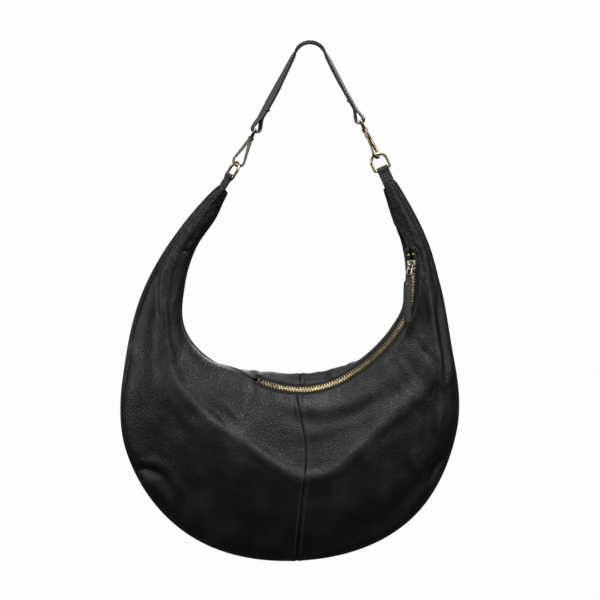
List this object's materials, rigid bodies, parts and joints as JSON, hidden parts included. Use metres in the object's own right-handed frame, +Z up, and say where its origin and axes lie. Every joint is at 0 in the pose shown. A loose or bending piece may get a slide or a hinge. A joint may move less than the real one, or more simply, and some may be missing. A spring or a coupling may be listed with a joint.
{
  "type": "hobo bag",
  "caption": "Slouchy crescent shoulder bag of pebbled black leather with a curved zipped mouth and a strap held by swivel clasps and D-rings.",
  "frame": {"origin": "axis of the round saddle that the strap makes over its peg", "axes": "+X to the right seen from the front, +Y from front to back along the peg, +Z up"},
  "size_m": [0.3708, 0.092, 0.5716],
  "materials": {
    "strap_leather": "smooth, semi-matte",
    "bag_leather": "pebbled, satin",
    "lining": "plain cotton",
    "zip_tape": "woven polyester",
    "zip_brass": "antique brass",
    "antique_brass": "antique brass, worn",
    "ring_brass": "antique brass, polished on the wear side",
    "pin_steel": "plain"
  },
  "bodies": {
    "strap": {"strap_outer": "strap_leather", "strap_backing": "strap_leather"},
    "left_eye": {"left_swivel_eye": "antique_brass"},
    "left_hook": {"left_swivel_post": "antique_brass", "left_hook_frame": "antique_brass", "left_gate_pin": "pin_steel", "left_gate_spring": "pin_steel"},
    "left_gate": {"left_gate": "antique_brass"},
    "right_eye": {"right_swivel_eye": "antique_brass"},
    "right_hook": {"right_swivel_post": "antique_brass", "right_hook_frame": "antique_brass", "right_gate_pin": "pin_steel", "right_gate_spring": "pin_steel"},
    "right_gate": {"right_gate": "antique_brass"},
    "bag": {"front_panel_left": "bag_leather", "front_panel_right": "bag_leather", "back_panel_left": "bag_leather", "back_panel_right": "bag_leather", "lining_front": "lining", "lining_back": "lining", "zip_tape_front": "zip_tape", "zip_tape_back": "zip_tape", "zip_teeth_front": "zip_brass", "zip_teeth_back": "zip_brass", "zip_top_stops": "zip_brass", "zip_bottom_stop": "zip_brass", "left_ring_tab": "bag_leather", "right_ring_tab": "bag_leather"},
    "left_ring": {"left_dee_ring": "ring_brass"},
    "right_ring": {"right_dee_ring": "ring_brass"},
    "slider": {"zip_slider": "zip_brass"},
    "link": {"pull_link": "zip_brass"},
    "puller": {"pull_tab": "bag_leather", "pull_rivet": "zip_brass"}
  },
  "joints": [
    {"name": "bag_swing", "type": "hinge", "parent": "strap", "child": "bag", "pos_m": [-0.081, 0, -0.11826], "axis": [0.9967, 0, 0.0814], "range_deg": [-40, 20]},
    {"name": "left_eye_pivot", "type": "hinge", "parent": "strap", "child": "left_eye", "pos_m": [-0.06023, 0, -0.07919], "axis": [0, 1, 0], "range_deg": [-1.5, 1.5]},
    {"name": "left_hook_swivel", "type": "hinge", "parent": "left_eye", "child": "left_hook", "pos_m": [-0.06023, 0, -0.07919], "axis": [0.4695, 0, 0.8829], "range_deg": [-15, 15]},
    {"name": "left_gate_hinge", "type": "hinge", "parent": "left_hook", "child": "left_gate", "pos_m": [-0.07098, 0, -0.09387], "axis": [0, -1, 0], "range_deg": [0, 18], "stiffness_Nm_per_rad": 0.02, "springref_deg": -17.19},
    {"name": "left_ring_pivot", "type": "hinge", "parent": "bag", "child": "left_ring", "pos_m": [-0.08848, 0, -0.1297], "axis": [0.424, -0.866, -0.265], "range_deg": [-3, 3]},
    {"name": "right_eye_pivot", "type": "hinge", "parent": "strap", "child": "right_eye", "pos_m": [0.05581, 0, -0.06926], "axis": [0, 1, 0], "range_deg": [-1.5, 1.5]},
    {"name": "right_hook_swivel", "type": "hinge", "parent": "right_eye", "child": "right_hook", "pos_m": [0.05581, 0, -0.06926], "axis": [0.4226, 0, -0.9063], "range_deg": [-15, 15]},
    {"name": "right_gate_hinge", "type": "hinge", "parent": "right_hook", "child": "right_gate", "pos_m": [0.06242, -0.00236, -0.08604], "axis": [0.8214, -0.4226, 0.383], "range_deg": [0, 18], "stiffness_Nm_per_rad": 0.02, "springref_deg": -17.19},
    {"name": "right_ring_pivot", "type": "hinge", "parent": "bag", "child": "right_ring", "pos_m": [0.08, 0, -0.12187], "axis": [-0.9135, 0, -0.4067], "range_deg": [-3, 3]},
    {"name": "zip_slide", "type": "hinge", "parent": "bag", "child": "slider", "pos_m": [-0.011, -0.013, -0.23925], "axis": [0, 1, 0], "range_deg": [0, 113], "deforming": ["zip_teeth_front", "zip_teeth_back", "zip_tape_front", "zip_tape_back"]},
    {"name": "pull_link_swing", "type": "hinge", "parent": "slider", "child": "link", "pos_m": [0.11007, -0.01609, -0.22759], "axis": [-0.7897, 0.6088, -0.076], "range_deg": [-4, 90]},
    {"name": "pull_tab_swing", "type": "hinge", "parent": "link", "child": "puller", "pos_m": [0.10721, -0.02125, -0.23918], "axis": [-0.7897, 0.6088, -0.076], "range_deg": [-3, 45]}
  ]
}
